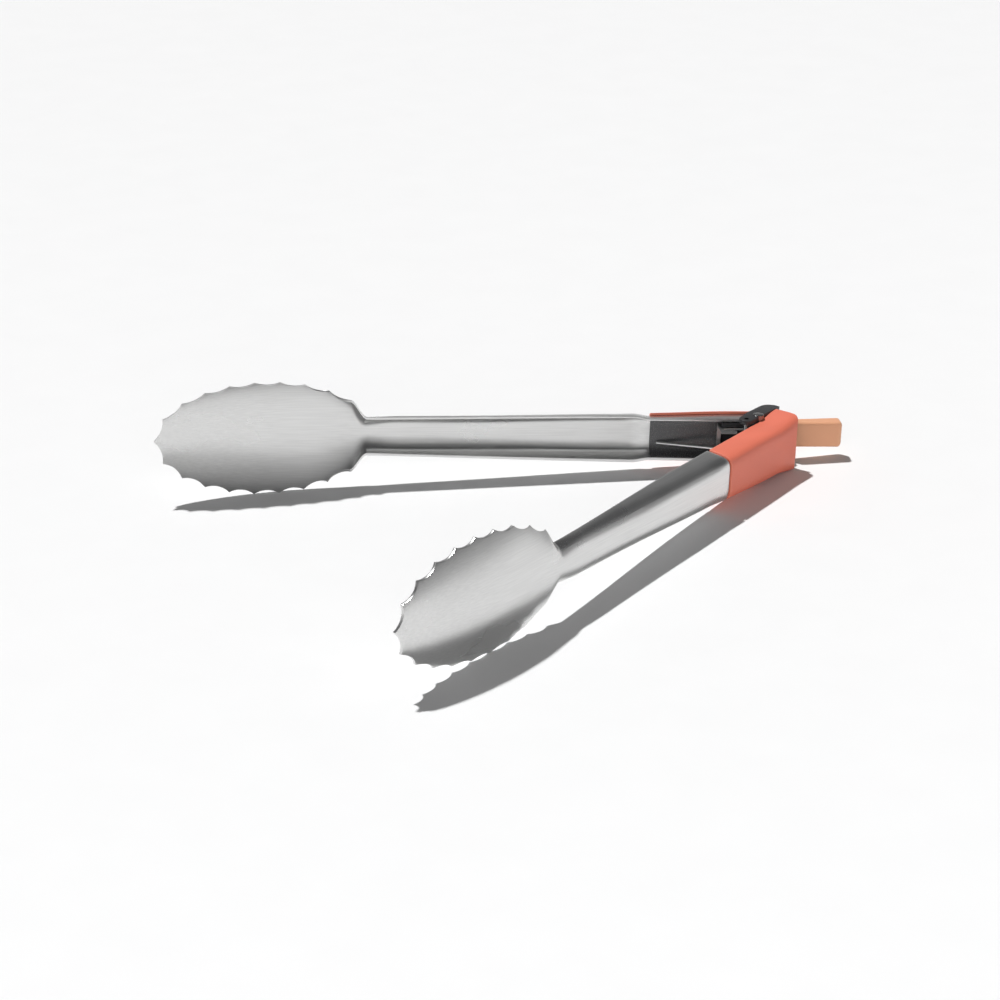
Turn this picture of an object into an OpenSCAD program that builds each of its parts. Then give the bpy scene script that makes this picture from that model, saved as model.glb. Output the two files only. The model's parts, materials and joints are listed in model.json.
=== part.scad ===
// Spring loaded kitchen tongs with scalloped bowl heads, coral sleeves and a pull-to-lock tab.
// Millimetres. Each arm is drawn in its own closed frame: X runs from the head (minus) to the
// tail (plus), Y leaves the closing plane towards the back of the arm, Z is the hinge axis.
// The front arm is the mirror image of the rear arm, turned by the opening angle.

/* [Arms] */
// Distance from the hinge pin to the tip of the head
reach = 228.4; // [205:1:250]
// Width of an arm over its sleeve
arm_w = 19.2; // [18.8:0.1:19.4]
// Width of the neck behind the head
neck_w = 15.4; // [14:0.1:18]
// Distance from the closing plane to the back of an arm over its sleeve
back_y = 12.8; // [12.6:0.1:13.2]
// Distance from the closing plane to the back of the neck
neck_back_y = 12.2; // [11:0.1:12.6]
// Distance from the closing plane to the channel's lips at the hinge
lip_y = 3; // [2.8:0.1:3.2]
// Distance from the closing plane to the lips at the neck
neck_lip_y = 7.1; // [6:0.1:8.8]
// Thickness of the sheet steel
sheet = 1; // [0.8:0.05:1.1]

/* [Head] */
// Length of the head's oval
head_len = 84; // [70:1:90]
// Width of the head across its teeth
head_w = 44.7; // [36:0.5:50]
// Depth of the bowl behind its rim, sheet included
bowl_depth = 6.7; // [5:0.1:8]
// Rise of the rim away from the closing plane, in mm for each mm of length
rim_slope = 0.1; // [0.08:0.005:0.11]
// Teeth on each side of the tip
side_teeth = 9; // [7:1:11]
// Depth of the scallops between the teeth
scallop_depth = 1.15; // [0.8:0.05:2]

/* [Sleeves] */
// Length of a sleeve from the hinge pin towards the head
sleeve_front = 40; // [30:1:60]
// Length of a sleeve from the hinge pin to its tail end
sleeve_tail = 14.2; // [13.8:0.1:15]
// Wall of a sleeve
sleeve_wall = 0.9; // [0.7:0.05:0.95]
// Radius of the sleeve's tail corner, seen along the hinge pin
tail_round = 4.5; // [3:0.5:6]
// Distance from the closing plane to the side edges of the rear sleeve
rear_sleeve_y = 9.6; // [5:0.1:10]

/* [Hinge] */
// Opening angle at rest
open_angle = 49.45; // [45:0.05:50]
// Radius of the pivot pin
pin_r = 2; // [1.6:0.1:2.2]
// Radius of the pivot pin's rivet heads
pin_head_r = 2.5; // [2.4:0.1:3.2]
// Height of the hinge over both rivet heads
hinge_h = 24; // [23.8:0.1:24.6]
// Radius of the inner lugs around the pin
lug_r = 4.5; // [4:0.1:4.6]
// Radius of the outer ears around the pin
ear_r = 5; // [4.8:0.1:5.2]
// Running clearance of the outer ears on the pin
pin_gap = 0.05; // [0.02:0.01:0.1]

/* [Lock] */
// Radius of the catch pin
catch_r = 0.9; // [0.7:0.1:0.9]
// Thickness of the lock plate
plate_t = 0.9; // [0.7:0.1:0.9]
// Half the width of the lock plate
plate_half = 5.2; // [5:0.1:5.2]
// Length of the pull tab
tab_len = 20.5; // [14:0.5:24]
// Half the width of the pull tab
tab_half = 5.1; // [4:0.1:5.6]
// Thickness of the pull tab at its root
tab_root_t = 4.6; // [4.2:0.1:5]
// Thickness of the pull tab at its free end
tab_end_t = 6.6; // [4.6:0.1:8]

/* [Spring] */
// Diameter of the spring wire
wire_d = 1.3; // [0.9:0.1:1.3]
// Radius of the coil to the middle of the wire
coil_r = 3.6; // [3.2:0.1:3.6]
// Whole turns in the fixed part of the coil
coil_turns = 4; // [2:1:4]
// Distance from the hinge pin to where the legs press on the arms
leg_reach = 37; // [28:1:45]

/* [Hidden] */
$fn = 48;

steel = "silver";
coral = "coral";
dark = "dimgray";
peach = "peachpuff";

// Heights measured from the middle plane of the tongs
mid_z = hinge_h / 2;
fit_gap = 0.3;
skin_gap = 0.1;
ear_out = mid_z - 0.5;
ear_in = arm_w / 2 + fit_gap;
boss_in = 7.5;
lug_out = 7.15;
lug_in = 5.5;
front_cheek_in = 5.6;
end_cut_x = 11.4;
coil_half = 3.35;

// Stations along the arm
head_a = head_len / 2;
head_b = head_w / 2;
head_x = head_a - reach;
oval_half = PI / 2 * (3 * (head_a + head_b) - sqrt((3 * head_a + head_b) * (head_a + 3 * head_b)));
tooth_arc = 0.8255 * oval_half / side_teeth;
deg = 180 / PI;
neck_x = head_x + 38.2 * head_len / 84;
tail_x = sleeve_tail - 0.6;
big = 80;

// Front insert: where its ears end and where its bridge under the lips lies
stop_y = 2;
bridge_y0 = stop_y + 0.25;
bridge_y1 = 3.5;
notch_r = ear_r + 0.25;

// Catch pin in the front arm's frame, and the hook that holds it
catch_x = -6.5;
catch_y = -1.4;
hook_back_x = -14;
hook_throat_x = -12.7;
hook_tip_x = -7.9;
hook_y0 = -1.3;
hook_y1 = 0.2;
plate_y = 8.3;
window_x0 = -12.4;
window_x1 = -0.5;
plate_low_y = 3;
plate_side_x = 5.5;
tab_x = 14.6;
tab_y = 9.4;
tongue_half = 3.6;
tongue_y = 11.2;

function ease(t) = let(u = min(max(t, 0), 1)) u * u * (3 - 2 * u);
function mix(a, b, t) = a + (b - a) * t;
function span(x, x0, x1) = (x - x0) / (x1 - x0);

// Teeth stand at equal arc steps from the tip round the oval
function oval(p) = [head_x - head_a * cos(p), head_b * sin(p)];
function oval_speed(p) = norm([head_a * sin(p), head_b * cos(p)]);
function tooth_angle(k) = k == 0 ? 0 :
    let(p = tooth_angle(k - 1), h = deg * tooth_arc / oval_speed(p) / 2)
    p + deg * tooth_arc / oval_speed(p + h);
tooth_angles = [for (k = [0:side_teeth]) tooth_angle(k)];
first_tooth = oval(tooth_angles[side_teeth]);

// Outline and profile of the arm at a distance x along it
function head_rim(x) = max(0.15, rim_slope * (x + reach) - 0.05);
function rim(x) =
    x < first_tooth[0] ? head_rim(x) :
    x < neck_x ? mix(head_rim(first_tooth[0]), neck_lip_y, ease(span(x, first_tooth[0], neck_x))) :
    mix(lip_y, neck_lip_y, pow(max(0, x / neck_x), 0.75));
function width(x) =
    x < first_tooth[0] ? head_b * sqrt(max(0.004, 1 - pow((x - head_x) / head_a, 2))) :
    x < neck_x ? mix(first_tooth[1], neck_w / 2, pow(ease(span(x, first_tooth[0], neck_x)), 0.8)) :
    mix(neck_w / 2, arm_w / 2, pow(ease(span(x, neck_x, -15)), 0.6));
function bowl(x) = sheet + (bowl_depth - sheet) *
    pow(max(0, 1 - pow((x - head_x + 4) / (head_a - 4), 2)), 0.8);
function back(x) = mix(mix(back_y, neck_back_y, ease(span(-x, 45, -neck_x))), rim(x) + bowl(x),
    ease(span(-x, -neck_x + 2, -neck_x + 30)));
function boxy(x) = 0.32 + 0.14 * ease(span(-x, sleeve_front + 1, sleeve_front + 12)) +
    0.3 * ease(span(-x, sleeve_front + 12, -neck_x - 15));
function to_head(x) = ease(span(-x, -neck_x - 12, -neck_x + 12));
function corner(x) = mix(boxy(x), 1, to_head(x));
function crown(x) = mix(boxy(x), 1.8, to_head(x));
function splay(x) = 0.12 * ease(span(-x, 8, 45)) * (1 - ease(span(-x, 90, -neck_x)));

// The steel steps in under the sleeve over a run of length run, so that the two are flush
function step_in(x, run) =
    (sleeve_wall + skin_gap) * ease(span(x, -sleeve_front - run, -sleeve_front - 0.2));

section_steps = 22;
function section(x, off) =
    let(w = max(width(x) + off, 0.25), g = rim(x), d = max(back(x) + off - g, 0.02),
        a = corner(x), b = crown(x), k = splay(x))
    [for (i = [0:section_steps])
        let(p = -90 + 180 * i / section_steps, s = sin(p), c = pow(max(cos(p), 0), b))
        [x, g + d * c, w * sign(s) * pow(abs(s), a) * (1 - k * c)]];

function reversed(v) = [for (i = [len(v) - 1:-1:0]) v[i]];

// A closed sheet of one thickness under the arm's outline, over a list of stations
module shell(stations, depths, wall) {
    rings = [for (i = [0:len(stations) - 1])
        concat(section(stations[i], -depths[i]), reversed(section(stations[i], -depths[i] - wall)))];
    m = len(rings[0]);
    n = len(rings);
    points = [for (r = rings) each r];
    skin = [for (j = [0:n - 2]) for (i = [0:m - 1]) let(a = j * m + i, b = j * m + (i + 1) % m)
        each [[a, b, b + m], [a, b + m, a + m]]];
    caps = [for (i = [0:section_steps - 1]) let(o = i, q = m - 1 - i, e = (n - 1) * m)
        each [[o, q, q - 1], [o, q - 1, o + 1], [e + o, e + o + 1, e + q - 1], [e + o, e + q - 1, e + q]]];
    polyhedron(points, concat(skin, caps));
}

head_stations = [for (p = [6, 14, 22, 31, 40, 50, 60, 70, 80, 90, 100, 110, 120, 129]) oval(p)[0]];
neck_stations = [for (i = [0:6]) mix(first_tooth[0], neck_x, i / 6)];
arm_stations = [-138, -126, -113, -99, -84, -70, -56];
grip_stations = [for (t = [0, 0.15, 0.3, 0.5, 0.75, 1]) -sleeve_front * (1 - t)];
function step_stations(run) = [for (t = [1, 0.7, 0.4]) -sleeve_front - run * t];
function steel_stations(run) =
    concat(head_stations, neck_stations, arm_stations, step_stations(run), grip_stations, [tail_x]);
rear_run = 7;
front_run = 1.6;

// Everything of the steel or a sleeve that the round tail corner takes away
module tail_cut(x_end, y_end) {
    r = tail_round;
    linear_extrude(height = big, center = true) difference() {
        translate([x_end - r, y_end - r]) square([big, big]);
        translate([x_end - r, y_end - r]) circle(r);
    }
    translate([x_end, -big / 2, -big / 2]) cube([big, big, big]);
}

// The hinge end is notched round the pivot and set back along the lips behind it
module hinge_notch() {
    translate([0, 0, -big / 2]) cylinder(r = notch_r, h = big);
    translate([0, bridge_y1 + 0.1 - big, -big / 2]) cube([big, big, big]);
}

module rivet_holes() {
    for (side = [-1, 1]) translate([-9, 5.6, side * 7.8 - 1]) cylinder(r = 1.2, h = 2);
}

module scallops() {
    for (k = [0:side_teeth - 1]) for (side = [-1, 1]) {
        p0 = oval(tooth_angles[k]);
        p1 = oval(tooth_angles[k + 1]);
        chord = norm(p1 - p0);
        out = [p0[1] - p1[1], p1[0] - p0[0]] / chord;
        r = (chord * chord / 4 + scallop_depth * scallop_depth) / (2 * scallop_depth) - 0.05;
        c = (p0 + p1) / 2 + out * (r - scallop_depth + 0.05);
        translate([c[0], -2, side * c[1]]) rotate([-90, 0, 0]) cylinder(r = r, h = 20);
    }
}

module arm_steel(run) {
    stations = steel_stations(run);
    difference() {
        shell(stations, [for (x = stations) step_in(x, run)], sheet);
        scallops();
        tail_cut(tail_x - 0.6, back_y - sleeve_wall - 0.2);
        hinge_notch();
        rivet_holes();
    }
}

module arm_sleeve() {
    difference() {
        shell(concat(grip_stations, [sleeve_tail]), [for (i = [0:len(grip_stations)]) 0], sleeve_wall);
        tail_cut(sleeve_tail, back_y);
        hinge_notch();
    }
}

// Places a child in the front arm's frame, open at rest
module front_frame() {
    rotate([0, 0, open_angle]) mirror([0, 1, 0]) children();
}

// The part of space that the rear arm leaves free for the open front arm and for the lock's tongue
module front_room(y) {
    front_frame() translate([-big / 2, y, -big]) cube([big, big, 2 * big]);
    translate([end_cut_x, -big, -big]) cube([big, 2 * big, 2 * big]);
}

module lifted() {
    translate([0, 0, mid_z]) children();
}

module rear_arm() {
    color(steel) lifted() difference() {
        arm_steel(rear_run);
        front_room(stop_y);
    }
}

module front_arm() {
    color(steel) lifted() front_frame() arm_steel(front_run);
}

module rear_sleeve() {
    color(coral) lifted() difference() {
        arm_sleeve();
        front_room(stop_y);
        translate([-big, rear_sleeve_y - big, -big]) cube([2 * big, big, 2 * big]);
    }
}

module front_sleeve() {
    color(coral) lifted() front_frame() arm_sleeve();
}

// Inside of the channel, seen along X, with the corners cut to clear the bent steel
module channel_fill(x0, x1) {
    translate([x0, 0, 0]) rotate([90, 0, 90]) linear_extrude(height = x1 - x0)
        polygon([[-8, -lug_out], [8.4, -lug_out], [9.8, -6.5], [10.5, -5.2],
                 [10.5, 5.2], [9.8, 6.5], [8.4, lug_out], [-8, lug_out]]);
}

module slab(z0, z1) {
    for (side = [0, 1]) mirror([0, 0, side]) translate([0, 0, z0])
        linear_extrude(height = z1 - z0) children();
}

module rear_hinge_block() {
    color(dark) lifted() difference() {
        intersection() {
            channel_fill(-13, 12);
            union() {
                slab(lug_in, lug_out) {
                    circle(lug_r);
                    translate([-13, lip_y + 0.3]) square([24, 8]);
                    translate([-lug_r, 0]) square([2 * lug_r, lip_y + 1]);
                }
                slab(0, lug_in + 0.1) translate([-13, plate_y + plate_t + fit_gap]) square([24, 3]);
            }
        }
        front_room(stop_y - 0.3);
        translate([0, 0, -big / 2]) cylinder(r = pin_r + 0.02, h = big);
        rivet_holes_in_block();
    }
}

module rivet_holes_in_block() {
    for (side = [-1, 1]) translate([-9, 5.6, side * 6.6 - 0.9]) cylinder(r = 1.2, h = 1.8);
}

module ear_outline() {
    circle(ear_r);
    hull() {
        translate([0, -0.3]) circle(4.6);
        translate([catch_x, catch_y]) circle(2.8);
    }
    hull() {
        circle(4.6);
        translate([8.6, 0.1]) circle(4.6);
    }
}

module below(y) {
    intersection() {
        children();
        translate([-big / 2, y - big]) square([big, big]);
    }
}

module front_hinge_block() {
    color(dark) lifted() front_frame() difference() {
        union() {
            slab(ear_in, ear_out) below(bridge_y1) ear_outline();
            slab(boss_in, ear_in + 0.1) below(bridge_y1) circle(ear_r - 0.15);
            slab(front_cheek_in, ear_in + 0.1)
                translate([3.8, bridge_y0]) square([8.6, bridge_y1 - bridge_y0]);
            intersection() {
                channel_fill(-13, 12.6);
                union() {
                    slab(front_cheek_in, lug_out) {
                        translate([-13, lip_y + 0.3]) square([27, 8]);
                        translate([3.8, bridge_y0]) square([8.6, 2]);
                    }
                    slab(0, front_cheek_in + 0.1) translate([-13, 9.4]) square([25, 2]);
                }
            }
        }
        translate([0, 0, -boss_in]) cylinder(r = ear_r - 0.1, h = 2 * boss_in);
        translate([0, 0, -big / 2]) cylinder(r = pin_r + pin_gap, h = big);
        translate([catch_x, catch_y, -big / 2]) cylinder(r = catch_r, h = big);
        rivet_holes_in_block();
    }
}

module block_rivets() {
    for (side = [-1, 1]) mirror([0, 0, side < 0 ? 1 : 0])
        translate([-9, 5.6, 5.75]) cylinder(r = 1.2, h = 2.5);
}

module rear_block_rivets() {
    color(steel) lifted() block_rivets();
}

module front_block_rivets() {
    color(steel) lifted() front_frame() block_rivets();
}

module pivot_pin() {
    head_z = ear_out + 0.12;
    rim_h = 0.15;
    color(steel) lifted() {
        cylinder(r = pin_r, h = 2 * head_z, center = true);
        for (side = [0, 1]) mirror([0, 0, side]) translate([0, 0, head_z]) {
            cylinder(r = pin_head_r, h = rim_h);
            translate([0, 0, rim_h])
                cylinder(r1 = pin_head_r, r2 = pin_head_r - 0.6, h = mid_z - head_z - rim_h);
        }
    }
}

// A round wire swept through a list of points, each with the direction it leaves in
module wire(path) {
    sides = 8;
    n = len(path);
    function heading(i) = let(v = path[min(i + 1, n - 1)] - path[max(i - 1, 0)]) v / norm(v);
    function ring(i) = let(t = heading(i), u0 = cross(t, [0, 0, 1]), u = u0 / norm(u0), v = cross(t, u))
        [for (k = [0:sides - 1]) let(q = 360 * k / sides) path[i] + wire_d / 2 * (cos(q) * u + sin(q) * v)];
    points = [for (i = [0:n - 1]) each ring(i)];
    skin = [for (i = [0:n - 2]) for (k = [0:sides - 1])
        let(a = i * sides + k, b = i * sides + (k + 1) % sides)
        each [[a, b + sides, b], [a, a + sides, b + sides]]];
    caps = [[for (k = [0:sides - 1]) k], [for (k = [sides - 1:-1:0]) (n - 1) * sides + k]];
    polyhedron(points, concat(skin, caps));
}

// Legs leave the coil square to the pin and end just short of the web they press on
leg_y = back(-leg_reach) - sleeve_wall - skin_gap - sheet - wire_d / 2 - 0.15;
function leg(z) = [for (t = [0.12, 0.38, 0.6, 0.8, 1])
    [-leg_reach * t, mix(coil_r, leg_y, max(0, (t - 0.38) / 0.62)), z]];
function turn(a, z) = [coil_r * cos(a), coil_r * sin(a), z];

module spring_coil() {
    steps = 16 * coil_turns;
    z0 = -coil_half;
    z1 = coil_half - wire_d - 0.1;
    color(steel) lifted() wire(concat(reversed(leg(z0)),
        [for (i = [0:steps]) turn(90 - 360 * coil_turns * i / steps, mix(z0, z1, i / steps))]));
}

module spring_moving_leg() {
    color(steel) lifted() front_frame() wire(concat(reversed(leg(coil_half)),
        [for (a = [90:-15:-150]) turn(a, coil_half)]));
}

// Side of the lock plate: a slide above the pin with a hook that opens towards the tail
module plate_side() {
    translate([hook_back_x, plate_low_y])
        square([plate_side_x - hook_back_x, plate_y + plate_t - plate_low_y]);
    translate([hook_back_x, hook_y0]) square([hook_throat_x - hook_back_x, plate_low_y - hook_y0 + 1]);
    translate([hook_back_x, hook_y0]) square([hook_tip_x - hook_back_x - 0.75, hook_y1 - hook_y0]);
    translate([hook_tip_x - 0.75, (hook_y0 + hook_y1) / 2]) circle(0.75);
}

// The web of the lock plate steps up behind the channel and ends in a tongue inside the tab
module lock_plate() {
    color(steel) lifted() {
        slab(plate_half - plate_t, plate_half) plate_side();
        slab(0, plate_half - plate_t + 0.05) {
            translate([hook_back_x, plate_y]) square([window_x0 - hook_back_x, plate_t]);
            translate([window_x1, plate_y]) square([plate_side_x - window_x1, plate_t]);
        }
        slab(0, tongue_half) {
            translate([plate_side_x, plate_y]) square([tab_x - plate_side_x - 1.5, plate_t]);
            translate([tab_x - 1.5 - plate_t, plate_y]) square([plate_t, tongue_y + plate_t - plate_y]);
            translate([tab_x - 1.5 - plate_t, tongue_y]) square([tab_len * 0.6, plate_t]);
        }
    }
}

module catch_pin() {
    color(steel) lifted() front_frame() translate([catch_x, catch_y, 0])
        cylinder(r = catch_r, h = 2 * ear_out, center = true);
}

// The tab grows thicker towards its rounded free end
module pull_tab() {
    end_r = 1.5;
    color(peach) lifted() difference() {
        intersection() {
            linear_extrude(height = 2 * tab_half, center = true) hull() {
                translate([tab_x, tab_y]) square([0.1, tab_root_t]);
                translate([tab_x + tab_len - 1.5, tab_y + 1.5]) circle(1.5);
                translate([tab_x + tab_len - 1.5, tab_y + tab_end_t - 1.5]) circle(1.5);
            }
            translate([0, tab_y - 1, 0]) rotate([-90, 0, 0]) linear_extrude(height = tab_end_t + 2) hull() {
                for (side = [-1, 1]) {
                    translate([tab_x + 0.8, side * (tab_half - 0.8)]) circle(0.8);
                    translate([tab_x + tab_len - end_r, side * (tab_half - end_r)]) circle(end_r);
                }
            }
        }
        translate([tab_x - 1.5, tongue_y, -tongue_half])
            cube([tab_len * 0.6 - plate_t, plate_t, 2 * tongue_half]);
    }
}

rear_arm();
front_arm();
rear_sleeve();
front_sleeve();
rear_hinge_block();
front_hinge_block();
rear_block_rivets();
front_block_rivets();
pivot_pin();
spring_coil();
spring_moving_leg();
lock_plate();
catch_pin();
pull_tab();
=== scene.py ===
"""Kitchen tongs lying on a pale floor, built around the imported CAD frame.

Shapes are worked out in millimetres in an arm's own closed frame, as in the part's source: X runs
from the head to the tail, Y leaves the closing plane and Z is the hinge axis from the middle plane.
new_mesh() turns them into metres. finish_piece() and wire() place them in the row frame, where the
rear arm keeps its axes and the front arm is mirrored and turned open by FRONT.
"""
import json
import math

import bmesh
import bpy
import numpy as np
from mathutils import Matrix, Vector, geometry


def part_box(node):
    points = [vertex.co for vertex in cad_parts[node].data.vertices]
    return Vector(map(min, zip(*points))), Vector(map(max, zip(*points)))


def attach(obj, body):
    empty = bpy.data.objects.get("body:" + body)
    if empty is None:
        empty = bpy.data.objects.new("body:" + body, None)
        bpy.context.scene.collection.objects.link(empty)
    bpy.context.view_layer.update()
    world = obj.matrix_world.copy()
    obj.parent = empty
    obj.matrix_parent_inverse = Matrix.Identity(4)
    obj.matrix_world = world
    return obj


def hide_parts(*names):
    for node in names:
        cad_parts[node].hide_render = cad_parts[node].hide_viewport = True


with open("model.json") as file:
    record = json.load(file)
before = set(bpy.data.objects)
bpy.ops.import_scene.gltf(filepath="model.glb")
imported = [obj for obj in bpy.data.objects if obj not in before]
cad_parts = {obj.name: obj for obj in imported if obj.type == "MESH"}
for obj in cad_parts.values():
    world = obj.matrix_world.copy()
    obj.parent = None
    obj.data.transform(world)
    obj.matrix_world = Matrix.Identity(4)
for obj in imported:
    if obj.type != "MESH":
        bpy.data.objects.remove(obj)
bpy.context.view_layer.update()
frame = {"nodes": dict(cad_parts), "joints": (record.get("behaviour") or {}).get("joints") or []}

MM = 0.001

# Sizes read from the frame. The hinge's travel stops short of closed by HINGE_END_GAP, and the
# tip's rounded tooth lies behind the CAD's sharp one by TIP_GAP.
HINGE_END_GAP, TIP_GAP = 0.15, 0.08
hinge = next(j for j in frame["joints"] if j["name"] == "hinge")
MID_Z = hinge["pos_m"][2] / MM
OPEN_ANGLE = hinge["range_deg"][1] + HINGE_END_GAP
REACH = -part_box("rear_arm")[0].x / MM + TIP_GAP
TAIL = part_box("rear_sleeve")[1].x / MM
COIL_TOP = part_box("spring_moving_leg")[1].z / MM - MID_Z
COIL_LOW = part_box("spring_coil")[0].z / MM - MID_Z
EAR_OUT = (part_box("front_hinge_block")[1].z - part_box("front_hinge_block")[0].z) / MM / 2

# The arm's outline and profile, as in the part's source, but for a hair less over the head, which
# keeps its teeth inside the CAD's box
ARM_W, NECK_W, HEAD_LEN, HEAD_W = 19.2, 15.4, 84, 44.66
BACK_Y, NECK_BACK_Y, LIP_Y, NECK_LIP_Y = 12.8, 12.2, 3, 7.1
SHEET, BOWL_DEPTH, RIM_SLOPE = 1, 6.7, 0.1
SIDE_TEETH, SCALLOP_DEPTH, TEETH_SHARE = 9, 1.15, 0.8255
SLEEVE_FRONT, SLEEVE_WALL, SKIN_GAP, TAIL_ROUND, REAR_SLEEVE_Y = 40, 0.9, 0.1, 4.5, 9.6
HEAD_A, HEAD_B = HEAD_LEN / 2, HEAD_W / 2
HEAD_X = HEAD_A - REACH
NECK_X = HEAD_X + 38.2
NOTCH_R, END_CUT_X, REAR_RUN, FRONT_RUN = 5.25, 11.4, 7, 1.6
BIG = 80

# The front arm's lips stand lower than the rear arm's, down to where its ears end
FRONT_LIP_DROP = 1.9
TAIL_FLARE = 0.095
EAR_END_Y, STOP_Y, REAR_BRIDGE_Y = 1.1, 0.9, 3.6

# The spring, the pin and the tab
WIRE_D, COIL_R, COIL_TURNS, LEG_REACH, LEG_BEND, LEG_GAP = 1.3, 3.6, 4, 37, 0.38, 0.15
PIN_R, PIN_HEAD_R, PIN_HEAD_EDGE, PIN_TIP_GAP, PIN_SEAT_GAP = 2, 2.05, 0.12, 0.02, 0.12
TAB_HALF, TAB_ROOT_T, TAB_END_T, TAB_Y = 5.1, 4.6, 6.6, 9.4
TAB_CORNER, TAB_EDGE = 1.5, 1.1


def ease(t):
    u = np.clip(t, 0, 1)
    return u * u * (3 - 2 * u)


def mix(a, b, t):
    return a + (b - a) * t


def span(x, x0, x1):
    return (x - x0) / (x1 - x0)


# The head is an oval, with teeth at equal arc steps from its tip round both sides
def oval(p):
    return np.array([HEAD_X - HEAD_A * math.cos(p), HEAD_B * math.sin(p)])


def tooth_angles():
    """The teeth take up TEETH_SHARE of half the oval's edge, on each side of the tip."""
    a, b = HEAD_A, HEAD_B
    half = math.pi / 2 * (3 * (a + b) - math.sqrt((3 * a + b) * (a + 3 * b)))
    step = TEETH_SHARE * half / SIDE_TEETH
    angles = [0]
    for _ in range(SIDE_TEETH):
        p = angles[-1]
        speed = math.hypot(a * math.sin(p), b * math.cos(p))
        middle = p + step / speed / 2
        angles.append(p + step / math.hypot(a * math.sin(middle), b * math.cos(middle)))
    return angles


TEETH = tooth_angles()
FIRST_TOOTH = oval(TEETH[-1])


def head_rim(x):
    return np.maximum(0.15, RIM_SLOPE * (x + REACH) - 0.05)


def rim(x, drop=0.0):
    """The lips' height over the closing plane. drop lowers them beside the handle."""
    near = mix(LIP_Y, NECK_LIP_Y, np.maximum(0, x / NECK_X) ** 0.75)
    near = near - drop * (1 - ease(span(-x, 60, -NECK_X)))
    bend = mix(head_rim(FIRST_TOOTH[0]), NECK_LIP_Y, ease(span(x, FIRST_TOOTH[0], NECK_X)))
    return np.where(x < FIRST_TOOTH[0], head_rim(x), np.where(x < NECK_X, bend, near))


def width(x):
    """Half the arm's width."""
    head = HEAD_B * np.sqrt(np.maximum(0.004, 1 - ((x - HEAD_X) / HEAD_A) ** 2))
    bend = mix(FIRST_TOOTH[1], NECK_W / 2, ease(span(x, FIRST_TOOTH[0], NECK_X)) ** 0.8)
    near = mix(NECK_W / 2, ARM_W / 2, ease(span(x, NECK_X, -15)) ** 0.6)
    return np.where(x < FIRST_TOOTH[0], head, np.where(x < NECK_X, bend, near))


def bowl(x):
    """The bowl's depth over its rim, to the outside of the sheet."""
    fall = np.maximum(0, 1 - ((x - HEAD_X + 4) / (HEAD_A - 4)) ** 2)
    return SHEET + (BOWL_DEPTH - SHEET) * fall ** 0.8


def back(x):
    """The height of the outside of the back over the closing plane."""
    arm = mix(BACK_Y, NECK_BACK_Y, ease(span(-x, 45, -NECK_X)))
    return mix(arm, rim(x) + bowl(x), ease(span(-x, -NECK_X + 2, -NECK_X + 30)))


def to_head(x):
    """0 along the channel, 1 in the bowl."""
    return ease(span(-x, -NECK_X - 12, -NECK_X + 12))


def boxy(x):
    """The section's exponent along the channel: the smaller, the closer to a box."""
    under_sleeve = ease(span(-x, SLEEVE_FRONT + 1, SLEEVE_FRONT + 12))
    return 0.32 + 0.14 * under_sleeve + 0.3 * ease(span(-x, SLEEVE_FRONT + 12, -NECK_X - 15))


def corner(x):
    return mix(boxy(x), 1, to_head(x))


def crown(x):
    return mix(boxy(x), 1.8, to_head(x))


def splay(x):
    """How far the walls lean in towards the back, as a share of the width."""
    return 0.12 * ease(span(-x, 8, 45)) * (1 - ease(span(-x, 90, -NECK_X)))


def step_in(x, run):
    """How far the steel's outside lies under the arm's outline, where it runs into the sleeve."""
    return (SLEEVE_WALL + SKIN_GAP) * ease(span(x, -SLEEVE_FRONT - run, -SLEEVE_FRONT - 0.2))


# Half a section, from the lip to the middle of the back
WEB_STEPS, CORNER_STEPS, WALL_STEPS = 8, 14, 9


def section_angles(x):
    """Angles round half a section at x, dense where it bends."""
    web = mix(0.8, 0.55, to_head(x))
    wall = mix(0.8, 0.45, to_head(x))
    up_wall = wall * np.linspace(0, 1, WALL_STEPS, endpoint=False)
    p_wall = np.arccos(np.clip(up_wall ** (1 / crown(x)), 0, 1))
    p_web = np.arcsin((web * np.linspace(1, 0, WEB_STEPS)) ** (1 / corner(x)))
    first = math.acos(wall ** (1 / crown(x)))
    p_corner = np.linspace(first, p_web[0], CORNER_STEPS, endpoint=False)
    return np.concatenate([p_wall, p_corner, p_web])


def half_section(x, off=0.0, drop=0.0):
    """Points of half a section at x, offset outwards by off: (x, y, z) with z falling to 0."""
    p = section_angles(x)
    w, g = width(x) + off, rim(x, drop)
    d = back(x) + off - g
    c = np.cos(p).clip(0) ** crown(x)
    z = w * np.sin(p).clip(0) ** corner(x) * (1 - splay(x) * c)
    return np.stack([np.full_like(p, x), g + d * c, z], 1)


def ring(x, off=0.0, drop=0.0):
    half = half_section(x, off, drop)
    return np.concatenate([half, half[-2::-1] * (1, 1, -1)])


def head_height(x, z, outside):
    """Either side of the head's sheet over a point of the closing plane. Its edge is cut square."""
    from_root = ease(span(FIRST_TOOTH[0] - x, 0, 20))
    edge = rim(x) + (0.9 * SHEET * from_root if outside else 0)
    top = back(x) - (0 if outside else SHEET)
    half = width(x) - (0 if outside else SHEET * (1 - from_root))
    inside = 1 - (np.abs(z) / half) ** (2 / corner(x))
    return edge + np.maximum(top - edge, 0) * np.maximum(inside, 0) ** (crown(x) / 2)


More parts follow.
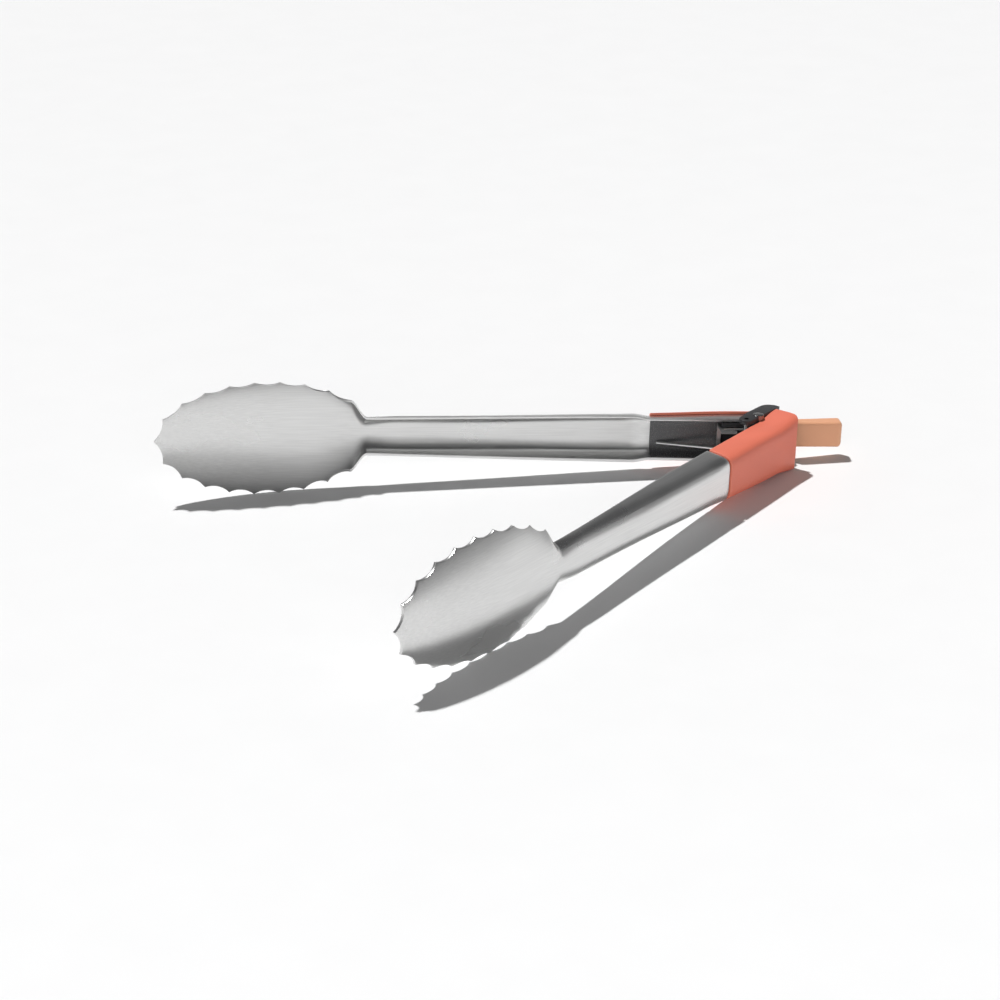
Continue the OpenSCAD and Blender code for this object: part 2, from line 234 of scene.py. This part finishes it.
def head_outline(spacing=0.4, rounding=0.22):
    """The scalloped edge from the first tooth on one side round the tip to the other side."""
    half = []
    for p0, p1 in zip(TEETH[:-1], TEETH[1:]):
        a, b = oval(p0), oval(p1)
        chord = np.linalg.norm(b - a)
        out = np.array([a[1] - b[1], b[0] - a[0]]) / chord
        radius = (chord ** 2 / 4 + SCALLOP_DEPTH ** 2) / (2 * SCALLOP_DEPTH)
        centre = (a + b) / 2 + out * (radius - SCALLOP_DEPTH)
        reach = math.asin(chord / 2 / radius)
        for t in np.linspace(-reach, reach, round(chord / spacing), endpoint=False):
            along = (b - a) / chord
            half.append(centre - out * radius * math.cos(t) + along * radius * math.sin(t))
    half.append(FIRST_TOOTH)
    half = np.array(half)
    line = np.concatenate([half[::-1], half[1:] * (1, -1)])
    kernel = np.exp(-0.5 * (np.arange(-4, 5) * spacing / rounding) ** 2)
    kernel /= kernel.sum()
    smooth = line.copy()
    for axis in (0, 1):
        smooth[4:-4, axis] = np.convolve(line[:, axis], kernel, "valid")
    return smooth


def head_points(outside):
    """The scoop as a fan of rays from the scalloped edge to a spine along its middle."""
    x_root = FIRST_TOOTH[0]
    fraction = half_section(x_root)[:, 2] / width(x_root)
    spine_end = HEAD_X - HEAD_A + 15
    rows = []
    for x, z in head_outline():
        if not outside:
            z -= math.copysign(SHEET * (1 - ease(span(x_root - x, 0, 20))), z)
        spine = mix(x_root, spine_end, (x_root - x) / (x_root - HEAD_X + HEAD_A))
        px, pz = mix(spine, x, fraction), z * fraction
        rows.append(np.stack([px, head_height(px, pz, outside), pz], 1))
    return rows


def channel_points(xs, offs, drop):
    return [ring(x, off, drop) for x, off in zip(xs, offs)]


# Meshes
FRONT = (Matrix.Rotation(math.radians(OPEN_ANGLE), 4, "Z") @ Matrix.Diagonal((1, -1, 1, 1)))


def new_mesh(name, points, faces):
    mesh = bpy.data.meshes.new(name)
    mesh.from_pydata([tuple(p) for p in np.asarray(points, float) * MM], [], faces)
    obj = bpy.data.objects.new(name, mesh)
    bpy.context.collection.objects.link(obj)
    return obj


def shell(name, *patches):
    """A closed sheet from patches of grid rows, each given as its outside rows and its inside rows.

    Patches share the points where they meet, and the two sides are joined along the open edges.
    """
    index, outer, inner, faces = {}, [], [], []
    for outside, inside in patches:
        rows = []
        for out_row, in_row in zip(outside, inside):
            row = []
            for o, i in zip(out_row, in_row):
                key = tuple(np.round(o, 3) + 0.0)
                if key not in index:
                    index[key] = len(outer)
                    outer.append(o)
                    inner.append(i)
                row.append(index[key])
            rows.append(row)
        for a, b in zip(rows[:-1], rows[1:]):
            faces += [(a[j], a[j + 1], b[j + 1], b[j]) for j in range(len(a) - 1)]
    faces = [tuple(dict.fromkeys(face)) for face in faces]
    faces = [face for face in faces if len(face) > 2]
    sides = {}
    for face in faces:
        for a, b in zip(face, face[1:] + face[:1]):
            sides[(a, b)] = sides.get((a, b), 0) + 1
    n = len(outer)
    rim_faces = [(b, a, a + n, b + n) for (a, b) in sides if (b, a) not in sides]
    back_faces = [tuple(v + n for v in reversed(face)) for face in faces]
    return clean(new_mesh(name, outer + inner, faces + back_faces + rim_faces))


def clean(obj):
    """Joins doubled points and turns the faces outwards."""
    bm = bmesh.new()
    bm.from_mesh(obj.data)
    bmesh.ops.remove_doubles(bm, verts=bm.verts, dist=2e-6)
    bmesh.ops.dissolve_degenerate(bm, edges=bm.edges, dist=1e-7)
    bmesh.ops.recalc_face_normals(bm, faces=bm.faces)
    bm.to_mesh(obj.data)
    bm.free()
    return obj


def bake(obj):
    """Puts the object's modifiers into its mesh."""
    graph = bpy.context.evaluated_depsgraph_get()
    mesh = bpy.data.meshes.new_from_object(obj.evaluated_get(graph))
    obj.modifiers.clear()
    obj.data = mesh
    return obj


def remove(obj):
    bpy.data.objects.remove(obj, do_unlink=True)


def soften(obj, radius, angle=35, steps=2):
    bevel = obj.modifiers.new("edges", "BEVEL")
    bevel.width = radius * MM
    bevel.segments = steps
    bevel.limit_method = "ANGLE"
    bevel.angle_limit = math.radians(angle)
    bevel.use_clamp_overlap = True
    return obj


def carve(obj, *cutters, operation="DIFFERENCE"):
    """Cuts each cutter out of the object, or joins it on, and removes the cutter."""
    for cutter in cutters:
        cut = obj.modifiers.new("cut", "BOOLEAN")
        cut.operation = operation
        cut.solver = "EXACT"
        cut.object = cutter
        bake(obj)
        remove(cutter)
    return obj


def prism(name, outline, z0, z1):
    """A closed prism over a list of (x, y) points."""
    n = len(outline)
    points = [(x, y, z) for z in (z0, z1) for x, y in outline]
    faces = [tuple(range(n - 1, -1, -1)), tuple(range(n, 2 * n))]
    faces += [(i, (i + 1) % n, n + (i + 1) % n, n + i) for i in range(n)]
    return clean(new_mesh(name, points, faces))


def arc(cx, cy, r, a0, a1, steps):
    angles = np.radians(np.linspace(a0, a1, steps))
    return [(cx + r * math.cos(a), cy + r * math.sin(a)) for a in angles]


def round_outline(r, cx=0, cy=0):
    return arc(cx, cy, r, 0, 355, 72)


def tail_cutter(x_end, y_end):
    r = TAIL_ROUND
    curve = arc(x_end - r, y_end - r, r, 90, 0, 17)
    outline = [(x_end - r, y_end + 20)] + curve + [(x_end, -BIG), (BIG, -BIG), (BIG, y_end + 20)]
    return prism("cut", outline, -BIG, BIG)


def notch_cutter(bridge_y):
    """The room round the pivot, and under the lips behind it."""
    start = math.degrees(math.asin(bridge_y / NOTCH_R))
    outline = arc(0, 0, NOTCH_R, start, 270, 60) + [(0, -BIG), (BIG, -BIG), (BIG, bridge_y)]
    return prism("cut", outline, -BIG, BIG)


def block_cutter(x0, x1, y0, y1):
    return prism("cut", [(x0, y0), (x1, y0), (x1, y1), (x0, y1)], -BIG, BIG)


def room_cutter(y):
    """The room of the open front arm, in the rear arm's frame."""
    cutter = block_cutter(-BIG / 2, BIG / 2, y, y + BIG)
    cutter.data.transform(FRONT)
    cutter.data.flip_normals()
    return cutter


def smooth(obj, angle=35):
    obj.data.shade_smooth()
    obj.data.set_sharp_from_angle(angle=math.radians(angle))
    return obj


def finish_piece(obj, name, body, slot, material, *nodes, front=False):
    """Places a finished mesh in the row frame, and gives it its body, finish and name."""
    if front:
        obj.data.transform(FRONT)
        obj.data.flip_normals()
    obj.data.transform(Matrix.Translation((0, 0, MID_Z * MM)))
    obj.name = name
    obj.data.name = name
    obj.data.materials.clear()
    obj.data.materials.append(material)
    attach(obj, body)
    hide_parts(*nodes)
    return obj


# Materials
def material(name):
    mat = bpy.data.materials.new(name)
    mat.use_nodes = True
    return mat, mat.node_tree, mat.node_tree.nodes["Principled BSDF"]


def link(tree, out, to):
    tree.links.new(out, to)


def object_coords(tree, angle, stretch):
    """Object coordinates turned about Z by angle degrees and scaled per axis."""
    coords = tree.nodes.new("ShaderNodeTexCoord")
    turn = tree.nodes.new("ShaderNodeMapping")
    turn.inputs["Rotation"].default_value = (0, 0, math.radians(-angle))
    size = tree.nodes.new("ShaderNodeMapping")
    size.inputs["Scale"].default_value = stretch
    link(tree, coords.outputs["Object"], turn.inputs["Vector"])
    link(tree, turn.outputs["Vector"], size.inputs["Vector"])
    return size.outputs["Vector"]


def noise(tree, vector, scale, detail=4.0, roughness=0.6):
    node = tree.nodes.new("ShaderNodeTexNoise")
    node.inputs["Scale"].default_value = scale
    node.inputs["Detail"].default_value = detail
    node.inputs["Roughness"].default_value = roughness
    link(tree, vector, node.inputs["Vector"])
    return node.outputs["Fac"]


def ramp(tree, fac, low, high, color_low, color_high):
    node = tree.nodes.new("ShaderNodeValToRGB")
    first, last = node.color_ramp.elements
    first.position, last.position = low, high
    first.color, last.color = (*color_low, 1), (*color_high, 1)
    link(tree, fac, node.inputs["Fac"])
    return node.outputs["Color"]


def spread(tree, fac, low, high):
    """Maps the middle of a noise to the range from low to high."""
    node = tree.nodes.new("ShaderNodeMapRange")
    node.inputs["From Min"].default_value = 0.3
    node.inputs["From Max"].default_value = 0.7
    node.inputs["To Min"].default_value = low
    node.inputs["To Max"].default_value = high
    link(tree, fac, node.inputs["Value"])
    return node.outputs["Result"]


def bump(tree, height, distance, strength, normal=None):
    node = tree.nodes.new("ShaderNodeBump")
    node.inputs["Distance"].default_value = distance * MM
    node.inputs["Strength"].default_value = strength
    link(tree, height, node.inputs["Height"])
    if normal is not None:
        link(tree, normal, node.inputs["Normal"])
    return node.outputs["Normal"]


def brushed_steel(name, angle=0.0, color=(0.70, 0.70, 0.695), rough=(0.25, 0.34), grain=1.0):
    """Satin steel, ground along an axis that lies at angle degrees from X."""
    mat, tree, shader = material(name)
    lines = noise(tree, object_coords(tree, angle, (90, 5200, 5200)), 1, 3, 0.7)
    hairs = noise(tree, object_coords(tree, angle, (60, 2200, 2200)), 1, 2, 0.5)
    clouds = noise(tree, object_coords(tree, angle, (30, 60, 60)), 1, 3, 0.5)
    shade = [c * 0.95 for c in color]
    light = [min(c * 1.04, 1) for c in color]
    link(tree, ramp(tree, hairs, 0.3, 0.7, shade, light), shader.inputs["Base Color"])
    link(tree, spread(tree, clouds, *rough), shader.inputs["Roughness"])
    fine = bump(tree, lines, 0.006, 0.3 * grain)
    link(tree, bump(tree, hairs, 0.008, 0.25 * grain, fine), shader.inputs["Normal"])
    shader.inputs["Metallic"].default_value = 1
    return mat


def moulded(name, color, worn, rough=(0.38, 0.52), texture=0.02, specular=0.45):
    """Moulded plastic with a fine spark-eroded skin, faint flow marks and paler worn edges."""
    mat, tree, shader = material(name)
    skin = noise(tree, object_coords(tree, 0, (1, 1, 1)), 2600, 3, 0.6)
    flow = noise(tree, object_coords(tree, 20, (35, 90, 90)), 1, 3, 0.5)
    shade = [c * 0.94 for c in color]
    body = ramp(tree, flow, 0.3, 0.7, shade, color)
    edge = tree.nodes.new("ShaderNodeNewGeometry")
    wear = tree.nodes.new("ShaderNodeMapRange")
    wear.inputs["From Min"].default_value = 0.52
    wear.inputs["From Max"].default_value = 0.62
    link(tree, edge.outputs["Pointiness"], wear.inputs["Value"])
    blend = tree.nodes.new("ShaderNodeMix")
    blend.data_type = "RGBA"
    blend.inputs["B"].default_value = (*worn, 1)
    link(tree, wear.outputs["Result"], blend.inputs["Factor"])
    link(tree, body, blend.inputs["A"])
    link(tree, blend.outputs["Result"], shader.inputs["Base Color"])
    link(tree, spread(tree, skin, *rough), shader.inputs["Roughness"])
    link(tree, bump(tree, skin, texture, 0.3), shader.inputs["Normal"])
    shader.inputs["Specular IOR Level"].default_value = specular
    return mat


STEEL_REAR = brushed_steel("steel_rear")
STEEL_FRONT = brushed_steel("steel_front", OPEN_ANGLE)
STEEL_PIN = brushed_steel("steel_pin", 90, (0.30, 0.30, 0.30), (0.22, 0.32))
STEEL_WIRE = brushed_steel("steel_wire", 0, (0.88, 0.88, 0.87), (0.30, 0.40), 0.5)
STEEL_PLATE = brushed_steel("steel_plate", 0, (0.85, 0.85, 0.84), (0.24, 0.36))
CORAL = moulded("coral_plastic", (0.83, 0.20, 0.125), (0.86, 0.30, 0.21))
PEACH = moulded("peach_plastic", (0.84, 0.42, 0.24), (0.88, 0.54, 0.36))
# Dark plastic for the painted shade inside the handles, not a real part's colour
PAINTED_SHADE = moulded("painted_shade_plastic", (0.10, 0.10, 0.103), (0.14, 0.14, 0.142), (0.22, 0.3), 0.01, 0.6)
DARK = moulded("dark_plastic", (0.022, 0.022, 0.024), (0.06, 0.06, 0.062), (0.35, 0.5), 0.04)


# Arms and sleeves
def arm_steel(run, drop):
    xs = np.concatenate([
        np.arange(FIRST_TOOTH[0], NECK_X, 0.5),
        np.arange(NECK_X, -SLEEVE_FRONT - run, 1.5),
        np.arange(-SLEEVE_FRONT - run, -SLEEVE_FRONT + 0.2, 0.2),
        np.linspace(-SLEEVE_FRONT + 0.4, TAIL - 0.6, 32),
    ])
    offs = [-float(step_in(x, run)) for x in xs]
    outside = channel_points(xs, offs, drop)
    inside = channel_points(xs, [off - SHEET for off in offs], drop)
    obj = shell("arm", (outside, inside), (head_points(True), head_points(False)))
    return bake(soften(obj, 0.15, 50))


def arm_sleeve(drop):
    """The moulded grip over the handle. A lower lip comes with a flare at the tail, over the ears."""
    xs = np.linspace(-SLEEVE_FRONT, TAIL, 48)
    outside = channel_points(xs, [0] * len(xs), drop)
    inside = channel_points(xs, [-SLEEVE_WALL] * len(xs), drop)
    for points in outside + inside:
        points[:, 2] *= 1 + TAIL_FLARE * drop * ease(span(points[0, 0], -4, TAIL))
    return bake(soften(shell("sleeve", (outside, inside)), 0.28, 50))


def under_tail():
    return block_cutter(-NOTCH_R, BIG, -BIG, EAR_END_Y + 0.05)


def rear_cutters():
    return [notch_cutter(REAR_BRIDGE_Y), room_cutter(STOP_Y), block_cutter(END_CUT_X, BIG, -BIG, BIG)]


rear_steel = carve(arm_steel(REAR_RUN, 0), *rear_cutters())
finish_piece(smooth(rear_steel), "arm_rear", "rear_arm", "steel", STEEL_REAR, "rear_arm")
front_steel = carve(arm_steel(FRONT_RUN, FRONT_LIP_DROP), under_tail(),
                    tail_cutter(TAIL - 1.2, BACK_Y - SLEEVE_WALL - 0.2))
finish_piece(smooth(front_steel), "arm_front", "front_arm", "steel", STEEL_FRONT, "front_arm",
             front=True)
rear_grip = carve(arm_sleeve(0), *rear_cutters(), block_cutter(-BIG, BIG, -BIG, REAR_SLEEVE_Y))
finish_piece(smooth(rear_grip), "sleeve_rear", "rear_arm", "sleeve", CORAL, "rear_sleeve")
front_grip = carve(arm_sleeve(FRONT_LIP_DROP), under_tail(), tail_cutter(TAIL, BACK_Y))
finish_piece(smooth(front_grip), "sleeve_front", "front_arm", "sleeve", CORAL, "front_sleeve",
             front=True)


# A thin dark sheet of painted shade inside each handle, from the sleeve's front to the insert. It
# stands for the shade and dark reflections in the channel there; the tongs have no such part.
PAINTED_SHADE_X0 = -SLEEVE_FRONT + 0.3
PAINTED_SHADE_X1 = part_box("rear_hinge_block")[0].x / MM - 0.3
PAINTED_SHADE_GAP, PAINTED_SHADE_WALL = 0.03, 0.3


def painted_shade_sheet(drop):
    xs = np.linspace(PAINTED_SHADE_X0, PAINTED_SHADE_X1, 36)
    off = -(SLEEVE_WALL + SKIN_GAP + SHEET + PAINTED_SHADE_GAP)
    outside = channel_points(xs, [off] * len(xs), drop)
    inside = channel_points(xs, [off - PAINTED_SHADE_WALL] * len(xs), drop)
    return bake(soften(shell("painted_shade_sheet", (outside, inside)), 0.08, 50))


# Painted shade: a thin dark sheet in each handle's channel
finish_piece(smooth(painted_shade_sheet(0)), "painted_shade_rear", "rear_arm", "insert", PAINTED_SHADE)
finish_piece(smooth(painted_shade_sheet(FRONT_LIP_DROP)), "painted_shade_front", "front_arm", "insert", PAINTED_SHADE,
             front=True)


# Front insert: ears over the pivot, bosses on the pin, cheeks and a web inside the channel
EAR_IN, BOSS_IN, BOSS_R, BOSS_SINK = ARM_W / 2 + 0.3, 7.5, 4.85, 0.3
EAR_DISCS = ((-6.5, -1.4, 2.8), (0, 0, 5), (9.5, -0.2, 4.7))
CHEEK_IN, CHEEK_OUT, CHEEK_X0, CHEEK_X1, CHEEK_Y0 = 5.6, 7.15, -13, 12.6, 3.4
WEB_Y0, WEB_Y1, WEB_X1, WEB_LAP = 9.4, 10.4, CHEEK_X1 - 0.5, 0.5
REAR_LUG_ROOM_R = 4.9


def ear_outline():
    """The round hull of the discs that make up an ear."""
    ring_points = [point for disc in EAR_DISCS for point in round_outline(disc[2], *disc[:2])]
    hull = geometry.convex_hull_2d([Vector(point) for point in ring_points])
    return [ring_points[i] for i in hull]


def front_insert():
    cheek = [(CHEEK_X0, CHEEK_Y0), (CHEEK_X1, CHEEK_Y0), (CHEEK_X1, WEB_Y1), (CHEEK_X0, WEB_Y1)]
    web = [(CHEEK_X0, WEB_Y0), (WEB_X1, WEB_Y0), (WEB_X1, WEB_Y1), (CHEEK_X0, WEB_Y1)]
    body = prism("insert", web, -CHEEK_IN - WEB_LAP, CHEEK_IN + WEB_LAP)
    for side in (-1, 1):
        ear = prism("ear", ear_outline(), *sorted((side * EAR_IN, side * EAR_OUT)))
        carve(ear, block_cutter(-BIG, BIG, EAR_END_Y, BIG))
        bake(soften(ear, 0.45, 40, 3))
        boss_z = sorted((side * BOSS_IN, side * (EAR_IN + BOSS_SINK)))
        boss = prism("boss", round_outline(BOSS_R), *boss_z)
        carve(boss, block_cutter(-BIG, BIG, EAR_END_Y, BIG))
        side_wall = prism("cheek", cheek, *sorted((side * CHEEK_IN, side * CHEEK_OUT)))
        carve(body, side_wall, ear, boss, operation="UNION")
    carve(body, prism("cut", round_outline(REAR_LUG_ROOM_R), -BOSS_IN, BOSS_IN))
    return bake(soften(body, 0.12, 60))


finish_piece(smooth(front_insert()), "insert_front", "front_arm", "insert", DARK, "front_hinge_block",
             front=True)


# Spring
def wire(name, path, body, node, front=False):
    curve = bpy.data.curves.new(name, "CURVE")
    curve.dimensions = "3D"
    curve.bevel_depth = WIRE_D / 2 * MM
    curve.bevel_resolution = 5
    curve.use_fill_caps = True
    spline = curve.splines.new("POLY")
    spline.points.add(len(path) - 1)
    for point, place in zip(spline.points, path):
        v = Vector(place) * MM
        v = (FRONT @ v if front else v) + Vector((0, 0, MID_Z * MM))
        point.co = (*v, 1)
    obj = bpy.data.objects.new(name, curve)
    bpy.context.collection.objects.link(obj)
    curve.materials.append(STEEL_WIRE)
    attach(obj, body)
    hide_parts(node)
    return obj


LEG_Y = float(back(-LEG_REACH)) - SLEEVE_WALL - SKIN_GAP - SHEET - WIRE_D / 2 - LEG_GAP
LOW_Z = COIL_LOW + WIRE_D / 2
HIGH_Z = COIL_TOP - WIRE_D / 2


def spring_leg(z):
    """A leg's path from its end to the coil: straight beside the coil, bent to the web beyond."""
    return [(-LEG_REACH * t, mix(COIL_R, LEG_Y, max(0, span(t, LEG_BEND, 1))), z)
            for t in np.linspace(1, 0.1, 46)]


def turns(a0, a1, z0, z1):
    steps = round(abs(a1 - a0) / 9)
    circle = arc(0, 0, COIL_R, a0, a1, steps + 1)
    return [(x, y, mix(z0, z1, i / steps)) for i, (x, y) in enumerate(circle)]


COIL_END_Z = HIGH_Z - WIRE_D - 0.1
wire("spring_fixed", spring_leg(LOW_Z) + turns(90, 90 - 360 * COIL_TURNS, LOW_Z, COIL_END_Z),
     "rear_arm", "spring_coil")
wire("spring_moving", spring_leg(HIGH_Z) + turns(90, -150, HIGH_Z, HIGH_Z),
     "front_arm", "spring_moving_leg", front=True)


# Pin
def pivot():
    """A turned pin with a low dome at each end, as rings from its top to its bottom."""
    top = MID_Z - PIN_TIP_GAP
    seat = EAR_OUT + PIN_SEAT_GAP
    half = [(0.001, top)]
    half += [(PIN_HEAD_R * math.sin(t), mix(seat + PIN_HEAD_EDGE, top, math.cos(t)))
             for t in np.radians(np.linspace(12, 90, 9))]
    half += [(PIN_HEAD_R, seat), (PIN_R, seat)]
    profile = half + [(r, -z) for r, z in reversed(half)]
    around = 72
    points = [(r * math.cos(a), r * math.sin(a), z) for r, z in profile
              for a in np.linspace(0, 2 * math.pi, around, endpoint=False)]
    faces = [(i * around + j, i * around + (j + 1) % around, (i + 1) * around + (j + 1) % around,
              (i + 1) * around + j) for i in range(len(profile) - 1) for j in range(around)]
    return clean(new_mesh("pivot", points, faces))


finish_piece(smooth(pivot()), "pin_pivot", "rear_arm", "fastener", STEEL_PIN, "pivot_pin")


# Tab
def rounded_rectangle(half_y, half_z, radius, steps=7):
    points = []
    for k, (sy, sz) in enumerate(((1, 1), (-1, 1), (-1, -1), (1, -1))):
        for a in np.radians(np.linspace(0, 90, steps)) + k * math.pi / 2:
            points.append((sy * (half_y - radius) + radius * math.cos(a),
                           sz * (half_z - radius) + radius * math.sin(a)))
    return points


def tab():
    x0, x1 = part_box("pull_tab")[0].x / MM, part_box("pull_tab")[1].x / MM
    ends = TAB_EDGE * (1 - np.cos(np.radians(np.linspace(0, 90, 8))))
    xs = np.concatenate([x0 + ends, np.linspace(x0 + TAB_EDGE, x1 - TAB_CORNER, 16)[1:-1],
                         x1 - TAB_CORNER * (1 - np.cos(np.radians(np.linspace(90, 0, 10))))])
    rings = []
    for x in xs:
        thick = mix(TAB_ROOT_T, TAB_END_T, span(x, x0, x1))
        near, far = max(0, TAB_EDGE - (x - x0)), max(0, TAB_CORNER - (x1 - x))
        inset = TAB_EDGE - math.sqrt(max(TAB_EDGE ** 2 - near ** 2, 0))
        inset += TAB_CORNER - math.sqrt(max(TAB_CORNER ** 2 - far ** 2, 0))
        half_y, half_z = thick / 2 - inset, TAB_HALF - inset
        outline = rounded_rectangle(half_y, half_z, max(1.2 - 0.5 * inset, 0.35))
        rings.append([(x, TAB_Y + thick / 2 + y, z) for y, z in outline])
    n = len(rings[0])
    points = [p for r in rings for p in r]
    faces = [(i * n + j, i * n + (j + 1) % n, (i + 1) * n + (j + 1) % n, (i + 1) * n + j)
             for i in range(len(rings) - 1) for j in range(n)]
    faces += [tuple(range(n)), tuple(range(len(points) - 1, len(points) - 1 - n, -1))]
    return clean(new_mesh("tab", points, faces))


finish_piece(smooth(tab(), 50), "tab_pull", "lock", "tab", PEACH, "pull_tab")


def keep(node, mat, edge):
    """Gives a CAD node whose shape stays its material and softened edges."""
    obj = frame["nodes"][node]
    obj.data.materials.clear()
    obj.data.materials.append(mat)
    weld = obj.modifiers.new("weld", "WELD")
    weld.merge_threshold = 2e-6
    soften(obj, edge, 30)


keep("rear_hinge_block", DARK, 0.25)
for small in ("rear_block_rivets", "front_block_rivets", "catch_pin"):
    keep(small, STEEL_PIN, 0.15)
keep("lock_plate", STEEL_PLATE, 0.12)


# Floor, on which the pin's lower end and the lowest teeth of both heads lie. Metres from here on.
FLOOR_HALF, HEADS_FROM = 4, 0.15


def lowest(points, normal):
    return points[np.argmin(points @ normal)]


def world_points(name):
    data = bpy.data.objects[name].data
    co = np.zeros(len(data.vertices) * 3)
    data.vertices.foreach_get("co", co)
    return co.reshape(-1, 3)


def contact_plane():
    heads = [world_points("arm_rear"), world_points("arm_front")]
    heads = [p[np.hypot(p[:, 0], p[:, 1]) > HEADS_FROM] for p in heads]
    pin = world_points("pin_pivot")
    normal = np.array([0.0, 0.0, 1.0])
    for _ in range(6):
        a, b, c = lowest(pin, normal), lowest(heads[0], normal), lowest(heads[1], normal)
        normal = np.cross(b - a, c - a)
        normal *= math.copysign(1 / np.linalg.norm(normal), normal[2])
    return Vector(a), Vector(normal)


def floor():
    place, normal = contact_plane()
    mesh = bpy.data.meshes.new("floor")
    h = FLOOR_HALF
    mesh.from_pydata([(-h, -h, 0), (h, -h, 0), (h, h, 0), (-h, h, 0)], [], [(0, 1, 2, 3)])
    obj = bpy.data.objects.new("floor", mesh)
    bpy.context.collection.objects.link(obj)
    obj.matrix_world = Matrix.Translation(place) @ normal.to_track_quat("Z", "Y").to_matrix().to_4x4()
    mat, tree, shader = material("floor_paper")
    clouds = noise(tree, object_coords(tree, 0, (1, 1, 1)), 40, 2, 0.5)
    fibres = noise(tree, object_coords(tree, 0, (1, 1, 1)), 900, 3, 0.6)
    tint = ramp(tree, clouds, 0.3, 0.7, (0.868, 0.868, 0.868), (0.878, 0.878, 0.878))
    link(tree, tint, shader.inputs["Base Color"])
    link(tree, bump(tree, fibres, 0.05, 0.1), shader.inputs["Normal"])
    shader.inputs["Roughness"].default_value = 0.9
    shader.inputs["Specular IOR Level"].default_value = 0.1
    obj.data.materials.append(mat)


floor()


# Light
SUN_ENERGY, SUN_SIZE, SUN_TRAVEL = 3.1, 2.5, (0.30, -0.28, -1)
FILL_ENERGY, FILL_SIZE, FILL_FROM, FILL_DISTANCE = 11, 1.6, (-0.15, -0.95, 0.28), 2.2


def sky():
    """A grey room that is darker overhead."""
    world = bpy.data.worlds.new("studio")
    bpy.context.scene.world = world
    world.use_nodes = True
    tree = world.node_tree
    coords = tree.nodes.new("ShaderNodeTexCoord")
    parts = tree.nodes.new("ShaderNodeSeparateXYZ")
    link(tree, coords.outputs["Generated"], parts.inputs["Vector"])
    shades = ramp(tree, parts.outputs["Z"], 0.08, 0.6, (0.5, 0.5, 0.5), (0.07, 0.07, 0.072))
    link(tree, shades, tree.nodes["Background"].inputs["Color"])


def key_light():
    """The one clear shadow, to the right and towards the camera."""
    lamp = bpy.data.lights.new("key", "SUN")
    lamp.energy = SUN_ENERGY
    lamp.angle = math.radians(SUN_SIZE)
    obj = bpy.data.objects.new("key", lamp)
    bpy.context.collection.objects.link(obj)
    travel = Vector(SUN_TRAVEL).normalized()
    obj.rotation_euler = travel.to_track_quat("-Z", "Y").to_euler()


def fill_light():
    """A wide soft box behind the camera. It lights the plastic but isn't mirrored in the steel."""
    lamp = bpy.data.lights.new("fill", "AREA")
    lamp.size = FILL_SIZE
    lamp.energy = FILL_ENERGY
    obj = bpy.data.objects.new("fill", lamp)
    bpy.context.collection.objects.link(obj)
    away = Vector(FILL_FROM).normalized()
    obj.location = away * FILL_DISTANCE
    obj.rotation_euler = away.to_track_quat("Z", "Y").to_euler()
    obj.visible_glossy = False


sky()
key_light()
fill_light()
bpy.context.scene.view_settings.view_transform = "Standard"


# Camera, fitted to the tooth tips and the arms' edges
CAMERA_TURNS = (5.93, 21.4, 2.15)
CAMERA_PLACE = (-0.1992, -0.9797, 0.3629 + MID_Z * MM)
CAMERA_LENS = 99.97


def camera():
    azimuth, elevation, roll = (math.radians(v) for v in CAMERA_TURNS)
    forward = Vector((math.sin(azimuth) * math.cos(elevation), math.cos(azimuth) * math.cos(elevation),
                      -math.sin(elevation)))
    level = Vector((math.cos(azimuth), -math.sin(azimuth), 0))
    upright = level.cross(forward)
    right = level * math.cos(roll) + upright * math.sin(roll)
    up = upright * math.cos(roll) - level * math.sin(roll)
    place = Matrix((right, up, -forward)).transposed().to_4x4()
    place.translation = Vector(CAMERA_PLACE)
    data = bpy.data.cameras.new("camera")
    data.lens = CAMERA_LENS
    data.clip_start = 0.01
    obj = bpy.data.objects.new("camera", data)
    bpy.context.collection.objects.link(obj)
    obj.matrix_world = place
    bpy.context.scene.camera = obj


camera()
